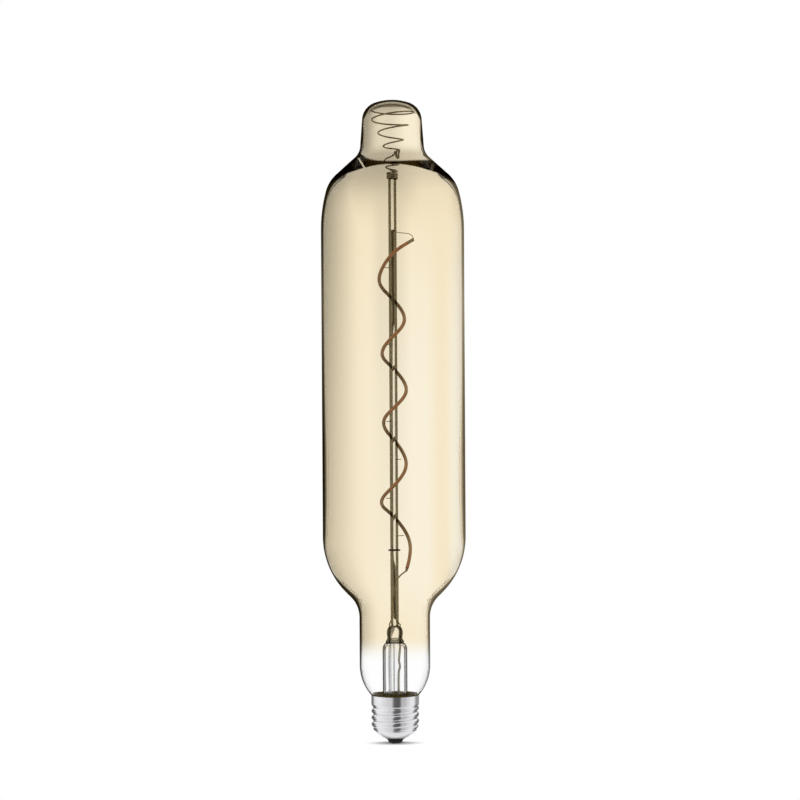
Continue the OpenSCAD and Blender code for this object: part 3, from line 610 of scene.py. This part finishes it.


# towards the outline light passes straight on, ever darker, a painted shade; the inner face only lets it pass
def envelopeMaterial(name, v, inside):
    material, look = newMaterial(name)
    height, across, facing = look.place("Z"), look.place("X"), look.facing()
    filmed = look.rise(height, *v["filmFrom"])
    filmShade = filmPaintedShade(look, v, height, across)
    amber = look.blend(filmShade, filmTintAndLight(look, v, height, across), v["filmShadeTint"])
    glass = look.glass(look.blend(filmed, v["clear"], amber), v["ior"])
    if inside:
        met = height
        for begin, end, shift in v["slopes"]:
            met = met + (look.rise(height, *begin) - look.rise(height, *end)) * shift
        start = look.byHeight(met, v["tall"], outlineStops(v)).other("Alpha")
        outline = look.through(white)
    else:
        start = look.add("SeparateColor", None, {0: look.byHeight(height, v["tall"], outlineStops(v))})
        film = look.mixed(filmShade, look.through(v["tint"]), look.through(v["filmShadeTint"]))
        light = look.mixed(filmed, look.through(v["clear"]), film)
        dark = look.mixed(filmed, look.through(v["clearDark"]), look.through(v["tintDark"]))
        paleRightOutline = (1.0 - look.side()) * (1.0 - look.rise(height, *v["paleRightEnds"])) * v["paleRightOutline"]
        shade = look.rise(facing, start, start.other("Green")) * start.other("Blue") * (1.0 - paleRightOutline)
        outline = look.mixed(shade, light, dark)
    glass = look.mixed(look.rise(facing, start, start + v["outlineSoft"]), glass, outline)
    if not inside:
        glass = foldedGlass(look, v, glass, height, across, facing)
        glass = seated(look, glass, look.rise(facing, *cementBehind["liftFrom"]) * cementBehind["lift"])
    finishGlass(look, glass, v["shadow"])
    return material


# degrees of two like turns, there and back, that step aside by this much; radii is the sum of both
def sBend(step, radii):
    return math.degrees(math.acos(1.0 - step / radii))


def envelopeStretches(v):
    cornerX = v["tipR"] - v["cornerR"] * cosine(v["tipTaper"])
    domeTurn = math.degrees(math.asin(cornerX / (v["domeR"] - v["cornerR"])))
    bends = (v["tipFilletR"] * (cosine(v["tipTaper"]) - cosine(v["upperSlope"]))
        + v["upperTurnR"] * (cosine(v["upperEase"]) - cosine(v["upperSlope"]))
        + v["upperEaseR"] * (1.0 - cosine(v["upperEase"])))
    upperCone = v["bodyR"] - v["tipR"] - v["tipSide"] * sine(v["tipTaper"]) - bends
    upperCone = upperCone / sine(v["upperSlope"])
    bends = (v["lowerTurnR"] + v["neckFilletR"]) * (1.0 - cosine(v["lowerSlope"]))
    lowerCone = (v["bodyR"] - v["neckR"] - bends) / sine(v["lowerSlope"])
    heelTurn = sBend(v["neckR"] - v["seatR"], v["heelR"] + v["seatFilletR"])
    upper = [
        (v["domeR"], -domeTurn), (v["cornerR"], domeTurn + v["tipTaper"] - 90.0), (0, v["tipSide"]),
        (v["tipFilletR"], v["upperSlope"] - v["tipTaper"]), (0, upperCone),
        (v["upperTurnR"], v["upperEase"] - v["upperSlope"]), (v["upperEaseR"], -v["upperEase"])]
    lower = [
        (v["lowerTurnR"], -v["lowerSlope"]), (0, lowerCone), (v["neckFilletR"], v["lowerSlope"]),
        (0, v["neckLength"]), (v["heelR"], -heelTurn), (v["seatFilletR"], heelTurn),
        (0, v["rimHeight"] - v["seatFilletR"] * sine(heelTurn) - v["sealHeight"])]
    body = strideDown(upper + lower, (0.0, v["height"]), 90.0, 0.0)[-1][1] - v["sealHeight"]
    return upper + [(0, body)] + lower


def envelopeOutline(v, inset):
    top = (0.0, v["height"] - inset)
    return [top] + strideDown(envelopeStretches(v), top, 90.0, inset)


def makeEnvelope(v):
    outside, inside = envelopeOutline(v, 0.0), envelopeOutline(v, v["wall"])
    points, faces = turned(outside + inside[::-1], v["sides"])
    material = envelopeMaterial("amber glass", amberGlass, False)
    piece = meshPiece("glassEnvelope", points, faces, material, ["envelope"])
    piece.data.materials.append(envelopeMaterial("amber glass inside", amberGlass, True))
    start = len(outside) * v["sides"]  # the seat's inner face, hidden in the cap, keeps the outer glass
    for face in piece.data.polygons:
        face.material_index = int(min(face.vertices) >= start)


makeEnvelope(envelope)
print("envelope blown")

# clear glass stem
stemGlass = {
    "colour": (1.0, 1.0, 1.0, 1.0), "dark": (0.24, 0.24, 0.23, 1.0), "edge": (0.50, 0.70), "ior": 1.5,
    "shadow": (0.96, 0.96, 0.95, 1.0),
}
rodGlass = dict(stemGlass, edge=(0.03, 0.09), dark=(0.42, 0.40, 0.33, 1.0), colour=(0.97, 0.97, 0.95, 1.0))
pinchGlass = dict(
    stemGlass, edge=(0.05, 0.15), dark=(0.30, 0.29, 0.24, 1.0),
    shadedSide=(-1.3, -2.1), shadedAt=58.0, shadedLean=0.4, shadedBy=0.8)  # dark on the left, up a slant

# the pinch, squeezed flat while soft: height, half width and half depth up its length
pinch = {
    "rings": [
        (54.6, 4.9, 4.6), (55.4, 5.0, 4.5), (56.2, 4.5, 4.0), (57.0, 4.1, 3.5), (58.4, 4.2, 3.4),
        (60.0, 4.35, 3.5), (61.4, 4.2, 3.5), (62.6, 3.7, 3.2), (63.4, 3.0, 2.8), (63.8, 2.3, 2.3)],
    "sides": 40, "steps": 3,
}


# drawn glass: painted shade darkens its outlines, and the pinch on its left
def stemGlassMaterial(name, v):
    material, look = newMaterial(name)
    edge = look.rise(look.facing(), *v["edge"])
    if "shadedSide" in v:
        across = look.place("X") - (look.place("Z") - v["shadedAt"]) * v["shadedLean"]
        edge = edge.atLeast(look.rise(across, *v["shadedSide"]) * v["shadedBy"])
    glass = look.mixed(edge, look.glass(v["colour"], v["ior"]), look.through(v["dark"]))
    finishGlass(look, seated(look, glass), v["shadow"])
    return material


def makePinch(v):
    points = []
    lists = list(zip(*v["rings"]))
    count = (len(v["rings"]) - 1) * v["steps"]
    for k in range(count + 1):
        height, wide, deep = (between(values, k / v["steps"]) * mm for values in lists)
        points += [(wide * a, deep * b, height) for a, b in roundSection(1.0, v["sides"])]
    faces = tubeFaces(count + 1, v["sides"])
    material = stemGlassMaterial("pinch glass", pinchGlass)
    meshPiece("stemPinch", points, faces, material, ["stem_pinch"])


stemMaterial = stemGlassMaterial("clear glass", stemGlass)
for node in ("stem_flare", "exhaust_tube"):
    setBy(node, stemMaterial)
makePinch(pinch)
setBy("support_rod", stemGlassMaterial("rod glass", rodGlass))
print("stem set")

# the wires and the metal strips
nickelWire = {
    "colour": (0.20, 0.17, 0.11, 1.0), "worn": (0.12, 0.10, 0.06, 1.0), "mottle": 1.2, "grain": 0.12,
    "rough": 0.35, "depth": 0.01, "metal": 1.0,
}
leadWire = dict(nickelWire, colour=(0.42, 0.34, 0.20, 1.0), worn=(0.32, 0.25, 0.14, 1.0), rough=0.5)
springWire = dict(nickelWire, colour=(0.34, 0.29, 0.18, 1.0), worn=(0.24, 0.20, 0.12, 1.0), rough=0.4)
copperWire = dict(nickelWire, colour=(0.30, 0.20, 0.14, 1.0), worn=(0.22, 0.14, 0.10, 1.0))
tinnedWire = dict(nickelWire, colour=(0.5, 0.47, 0.36, 1.0), worn=(0.35, 0.32, 0.22, 1.0))
outerWire = dict(tinnedWire, across=(-1.0, 1.0), leftColour=(0.90, 0.90, 0.93, 1.0))
tabStrip = dict(nickelWire, colour=(0.36, 0.31, 0.22, 1.0), worn=(0.28, 0.24, 0.16, 1.0), rough=0.5)
tieStrip = dict(nickelWire, colour=(0.07, 0.055, 0.03, 1.0), worn=(0.14, 0.11, 0.07, 1.0), rough=0.5)
setBy("filament_holders", plainMaterial("nickel wire", nickelWire))
setBy("lead_tie", plainMaterial("tie strip", tieStrip))
setBy("seal_wires", plainMaterial("oxidised copper", copperWire))
setBy("neutral_wire", plainMaterial("tinned wire", tinnedWire))
setBy("outer_leads", plainMaterial("outer lead wire", outerWire))

# spiral filament: quarter turns from the upper end, right, front, left, back and so on
spiral = {
    "heights": [
        274.1, 265.7, 251.8, 241.5, 230.6, 221.1, 211.9, 203.8, 192.3, 182.3, 174.1, 164.9, 152.1, 140.4,
        131.2, 122.5, 106.1, 82.5],
    "radii": [11.5, 7.6, 7.4, 6.3, 6.2, 6.1, 6.0, 6.2, 7.0, 6.1, 5.4, 6.0, 6.7, 6.5, 6.8, 7.4, 8.7, 8.2],
    "from": 0.38, "to": 16.42, "steps": 14,  # first and last quarter turn, steps in each
    "coatR": 0.95, "coatSides": 12, "strip": (0.8, 0.2),
    "chips": 32, "chip": (0.5, 0.14, 0.4), "chipGap": 0.02, "chipMargin": 4,  # steps left free at each end
    "tab": (1.8, 0.3), "upperTab": 4.2, "lowerTab": 1.5, "tabInside": 0.6, "tabLast": 0.4,
}
silicone = {
    "frontToRear": [
        (0.06, (0.22, 0.105, 0.048, 1.0)), (0.30, (0.23, 0.125, 0.06, 1.0)),
        (0.5, (0.235, 0.155, 0.088, 1.0)), (0.75, (0.125, 0.078, 0.035, 1.0)),
        (0.95, (0.10, 0.062, 0.025, 1.0))],
    "deep": 16.0,  # mm from its front to its rear
    "mottleDark": 0.2, "mottle": 5.0, "grain": 0.25, "rough": 0.45, "depth": 0.02,
}
flexibleStrip = {
    "colour": (0.7, 0.62, 0.45, 1.0), "worn": (0.6, 0.52, 0.36, 1.0), "mottle": 5.0, "grain": 0.25,
    "rough": 0.45, "depth": 0.02,
}
chipCrystal = dict(flexibleStrip, colour=(0.10, 0.14, 0.42, 1.0), worn=(0.16, 0.2, 0.5, 1.0), rough=0.2)


# the front of the spiral is redder; its rear is darker, a painted shade
def siliconeMaterial(v):
    material, look = newMaterial("phosphor silicone")
    turns = look.add("ValToRGB", {"stops": v["frontToRear"]}, {"Fac": look.place("Y") / v["deep"] + 0.5})
    colour = look.blend(look.patches(v["mottle"]) * v["mottleDark"], turns, black)
    look.finish(look.grained(colour, v))
    return material


def spiralPoint(v, place):
    angle = -math.pi / 2.0 * place
    r = between(v["radii"], place)
    return (r * math.cos(angle), r * math.sin(angle), between(v["heights"], place))


def chipCorners(v, here, ahead):
    ahead = (ahead - here).normalized()
    out = Vector((here.x, here.y, 0.0)).normalized()
    up = ahead.cross(out).normalized()
    out = up.cross(ahead)
    long, thick, wide = (size / 2.0 for size in v["chip"])
    middle = here + out * (v["strip"][1] / 2.0 + v["chipGap"] + thick)
    corners = []
    for x in (-long, long):
        for y in (-thick, thick):
            for z in (-wide, wide):
                corners.append(tuple((middle + ahead * x + out * y + up * z) * mm))
    return corners


def makeChips(v, path):
    points, faces = [], []
    margin = v["chipMargin"]
    for k in range(v["chips"]):
        index = margin + round((len(path) - 1 - 2 * margin) * k / (v["chips"] - 1))
        start = len(points)
        points += chipCorners(v, path[index], path[index + 1])
        for face in ((0, 1, 3, 2), (4, 6, 7, 5), (0, 4, 5, 1), (2, 3, 7, 6), (0, 2, 6, 4), (1, 5, 7, 3)):
            faces.append(tuple(start + corner for corner in face))
    material = plainMaterial("chip crystal", chipCrystal)
    meshPiece("filamentChips", points, faces, material, ["led_chips"])


# a metal end of the filament; gives the point where its lead is joined
def makeTab(v, name, node, long, end, before, material):
    out = (end - before).normalized()
    path = [end - out * v["tabInside"], end, end + out * (long - v["tabLast"]), end + out * long]
    points, faces = wireSkin(path, flatSection(*v["tab"]))
    meshPiece(name, points, faces, material, [node])
    return path[-1]


def makeFilament(v):
    count = int((v["to"] - v["from"]) * v["steps"])
    places = [v["from"] + (v["to"] - v["from"]) * k / count for k in range(count + 1)]
    path = [Vector(spiralPoint(v, place)) for place in places]
    points, faces = wireSkin(path, roundSection(v["coatR"], v["coatSides"]))
    material = siliconeMaterial(silicone)
    meshPiece("filamentCoating", points, faces, material, ["filament_coating"])
    points, faces = wireSkin(path, flatSection(*v["strip"]))
    material = plainMaterial("flexible strip", flexibleStrip)
    meshPiece("filamentStrip", points, faces, material, ["filament_strip"])
    makeChips(v, path)
    material = plainMaterial("filament end", tabStrip)
    upper = makeTab(v, "upperTab", "upper_tab", v["upperTab"], path[0], path[1], material)
    lower = makeTab(v, "lowerTab", "lower_tab", v["lowerTab"], path[-1], path[-2], material)
    return upper, lower


upperEnd, lowerEnd = makeFilament(spiral)
print("filament wound")

# leads: the rear one runs up behind the rod, the front one crosses it to the filament's lower end
leads = {
    "r": 0.3, "endR": 0.42, "upperEndR": (0.45, 0.2), "sealX": 2.9, "pinchTop": 63.8, "behind": 2.6,
    # the rear wire by height while it is behind the rod: its sideways place and its radius
    "sway": [
        (73.8, 0.0, 0.3), (86.0, 0.0, 0.3), (95.0, -0.15, 0.3), (103.0, -0.38, 0.3), (125.0, -0.38, 0.3),
        (180.0, -0.38, 0.3), (222.0, -0.3, 0.3), (230.0, 0.1, 0.3), (238.0, 0.1, 0.34), (246.0, -0.05, 0.5),
        (262.0, -0.05, 0.5), (276.0, -0.05, 0.5)],
    "steps": 8, "sides": 10,
}


def makeLead(v, name, path, radii, material, node):
    path = smoothPath(path, v["steps"])
    sections = [roundSection(between(radii, k / v["steps"]), v["sides"]) for k in range(len(path))]
    points, faces = wireSkin(path, sections)
    meshPiece(name, points, faces, material, [node])


def makeLeads(v):
    material = plainMaterial("lead wire", leadWire)
    x, top, y = v["sealX"], v["pinchTop"], v["behind"]
    rear = [(x, 0, top), (x, 0.4, top + 0.6), (1.2, y - 0.5, top + 2.2), (0.2, y, top + 4.0)]
    radii = [v["r"]] * len(rear)
    rear += [(side, y, height) for height, side, r in v["sway"]]
    radii += [r for height, side, r in v["sway"]]
    over = [
        (0.3, y, 278.9), (1.1, y, 278.8), (2.6, y, 277.9), (5.2, y - 0.2, 277.5), (8.6, 1.4, 277.0),
        (10.4, 0.9, 276.0), tuple(upperEnd + Vector((-0.2, 0.2, 0.7))), tuple(upperEnd)]
    first, rest = v["upperEndR"]
    radii += [first] + [rest] * (len(over) - 1)
    makeLead(v, "rearLead", rear + over, radii, material, "rear_lead")
    front = [
        (-x, 0, top), (-x, -0.4, top + 0.9), (-2.2, -y + 0.8, 66.6), (-1.6, -y, 69.0), (-1.3, -y, 72.4),
        (-1.0, -y, 77.9), (0.0, -y, 83.4), (1.0, -y - 0.1, 88.0)]
    radii = [v["r"]] * len(front)
    bent = [(2.2, -y - 0.5, 90.3), (4.2, -y - 1.4, 92.4), tuple(lowerEnd)]
    radii += [v["endR"]] * len(bent)
    makeLead(v, "frontLead", front + bent, radii, material, "front_lead")


makeLeads(leads)
print("leads run")

# top spring: half turns from the ring under the dome down to the rod, from the left by the back
topSpring = {
    "heights": [
        344.7, 342.8, 338.6, 335.9, 331.5, 327.8, 324.2, 322.0, 316.4, 314.2, 312.8, 310.8, 310.0, 309.55,
        309.1, 308.65, 308.2, 307.75, 307.3, 306.85],
    "radii": [11.9, 12.0, 10.9, 8.8, 7.5, 6.1, 4.7, 4.1, 4.2, 3.4, 3.4, 2.9] + [2.75] * 8,
    "lean": 0.09, "leanFor": 3.0, "steps": 16, "r": 0.42, "sides": 10,
    # the knot takes the place of the half turn after this one
    "knotAfter": 7, "knotSteps": 5,
    "knot": [
        (3.63, -0.6, 319.6), (3.5, -1.1, 317.7), (2.7, -1.6, 318.0), (2.5, -2.1, 321.4), (3.5, -2.6, 321.2),
        (3.3, -3.1, 318.3), (2.2, -3.6, 318.2), (1.67, -3.9, 321.0), (1.13, -4.1, 319.3), (-0.5, -4.1, 318.3),
        (-3.2, -2.6, 317.2)],
}


def springTurns(v, start, end):
    path = []
    for k in range(start * v["steps"], end * v["steps"] + 1):
        place = k / v["steps"]
        angle = math.pi * (1.0 - place)
        r = between(v["radii"], place)
        y = r * math.sin(angle)
        lean = v["lean"] * max(0.0, 1.0 - place / v["leanFor"])
        path.append((r * math.cos(angle), y, between(v["heights"], place) - lean * y))
    return path


def makeTopSpring(v):
    upper = springTurns(v, 0, v["knotAfter"])
    lower = springTurns(v, v["knotAfter"] + 1, len(v["radii"]) - 1)
    path = upper[:-1] + smoothPath([upper[-1]] + v["knot"] + [lower[0]], v["knotSteps"]) + lower[1:]
    points, faces = wireSkin(path, roundSection(v["r"], v["sides"]))
    material = plainMaterial("spring wire", springWire)
    meshPiece("topSpring", points, faces, material, ["top_spring"])


makeTopSpring(topSpring)
print("spring wound")

# screw cap: plain collar, pressed thread, bowl
cap = {
    "r": 13.1, "rootR": 12.13, "pitch": 3.62, "threadFrom": 8.0, "threadTo": 21.0, "rim": 26.4, "sheet": 0.3,
    "runOut": 1.4, "crestAt": 19.4, "crestWide": 0.45, "cornerR": 1.2, "bowlR": 14.0, "slopeFrom": 38.0,
    "slopeTo": 66.0, "rimStep": 0.2, "collarFoot": 0.6, "sides": 144, "rows": 130,
}
nickelPlate = {
    "colour": (0.86, 0.86, 0.88, 1.0), "worn": (0.80, 0.80, 0.82, 1.0), "mottle": 6.0, "grain": 0.6,
    "rough": 0.16, "depth": 0.004, "metal": 1.0, "roughSpread": 0.06,
    # painted shade: the bowl's foot is dark, for the insulator and the floor's shadow that it mirrors
    "foot": (2.8, 3.5), "footShade": (0.02, 0.02, 0.02, 1.0),
}
# painted reflection: the contact is a dull grey, not metal, for the shadowed floor it mirrors; the painted
# shade of the foot it keeps darkens it all over
contactPlate = dict(nickelPlate, colour=grey(0.34), worn=grey(0.28), rough=0.5, metal=0.0)


def threadRadius(v, angle, height):
    wave = (1.0 + math.cos(2.0 * math.pi * (height - v["crestAt"]) / v["pitch"] - angle)) / 2.0
    wave = wave ** v["crestWide"]
    near = min(1.0, (height - v["threadFrom"]) / v["runOut"], (v["threadTo"] - height) / v["runOut"])
    rise = max(0.0, (height - (v["threadTo"] - v["runOut"])) / v["runOut"])
    return v["rootR"] + (v["r"] - v["rootR"]) * (max(0.0, near) * wave * (1.0 - rise) + rise)


# rings down the outside of the sheet and up its inside, each a height and a radius for every side
def shellRings(v):
    angles = anglesRound(v["sides"])
    span = v["threadTo"] - v["threadFrom"]
    heights = [v["threadTo"] - span * k / v["rows"] for k in range(v["rows"] + 1)]
    bowl = [(v["cornerR"], -v["slopeFrom"]), (v["bowlR"], v["slopeFrom"] - v["slopeTo"])]

    def collar(inset, *heights):
        return [(height, [v["r"] - inset] * v["sides"]) for height in heights]

    def thread(inset, heights):
        return [(height, [threadRadius(v, angle, height) - inset for angle in angles]) for height in heights]

    def foot(inset):
        points = strideDown(bowl, (v["rootR"] - inset, v["threadFrom"]), 0.0, inset)
        return [(height, [r] * v["sides"]) for r, height in points]

    rim, step, low, sheet = v["rim"], v["rimStep"], v["threadTo"] + v["collarFoot"], v["sheet"]
    outside = collar(0.0, rim, rim - step, rim - 2.0 * step, low) + thread(0.0, heights) + foot(0.0)
    inside = foot(sheet)[::-1] + thread(sheet, heights[::-1]) + collar(sheet, low, rim - step, rim)
    return outside + inside


def makeShell(v):
    rings = shellRings(v)
    points, faces = [], []
    sides = v["sides"]
    for height, radii in rings:
        for angle, r in zip(anglesRound(sides), radii):
            points.append((r * mm * math.cos(angle), r * mm * math.sin(angle), height * mm))
    for row in range(len(rings)):
        here, below = row * sides, (row + 1) % len(rings) * sides
        for side in range(sides):
            after = (side + 1) % sides
            faces.append((here + side, below + side, below + after, here + after))
    material = plainMaterial("nickel plate", nickelPlate)
    meshPiece("capShell", points, faces, material, ["screw_shell"])


makeShell(cap)
setBy("centre_contact", plainMaterial("contact plate", contactPlate))
print("cap pressed")

# the rest keeps its CAD shape
blackGlass = {
    "colour": (0.012, 0.012, 0.014, 1.0), "worn": (0.02, 0.02, 0.022, 1.0), "mottle": 3.0, "grain": 0.4,
    "rough": 0.5, "depth": 0.01, "also": {"Specular IOR Level": 0.15},
}
basingCement = {
    "colour": cementBehind["colour"], "worn": (0.07, 0.055, 0.016, 1.0), "mottle": 1.2, "grain": 0.3,
    "rough": cementBehind["rough"], "depth": 0.12, "also": {"Specular IOR Level": 0.0},
}
boardResist = {
    "colour": (0.02, 0.12, 0.05, 1.0), "worn": (0.03, 0.16, 0.07, 1.0), "mottle": 2.0, "grain": 0.5,
    "rough": 0.35, "depth": 0.01,
}
moulding = {
    "colour": (0.02, 0.02, 0.022, 1.0), "worn": (0.035, 0.035, 0.037, 1.0), "mottle": 1.0, "grain": 0.15,
    "rough": 0.5, "depth": 0.015,
}
sleeve = {
    "colour": (0.015, 0.025, 0.10, 1.0), "worn": (0.02, 0.035, 0.13, 1.0), "mottle": 2.0, "grain": 0.3,
    "rough": 0.3, "depth": 0.01,
}
insulation = dict(
    sleeve, colour=(0.45, 0.02, 0.015, 1.0), worn=(0.36, 0.015, 0.012, 1.0), grain=0.2, rough=0.35)
setBy("insulator", plainMaterial("black glass", blackGlass))
setBy("cap_cement", plainMaterial("basing cement", basingCement))
setBy("driver_board", plainMaterial("board resist", boardResist))
for node in ("bridge_rectifier", "driver_chip", "chip_resistors"):
    setBy(node, plainMaterial("moulding " + node, moulding))
setBy("smoothing_capacitor", plainMaterial("capacitor sleeve", sleeve))
setBy("live_wire", plainMaterial("wire insulation", insulation))
print("cap's inside finished")

bpy.context.scene.view_settings.view_transform = "Standard"
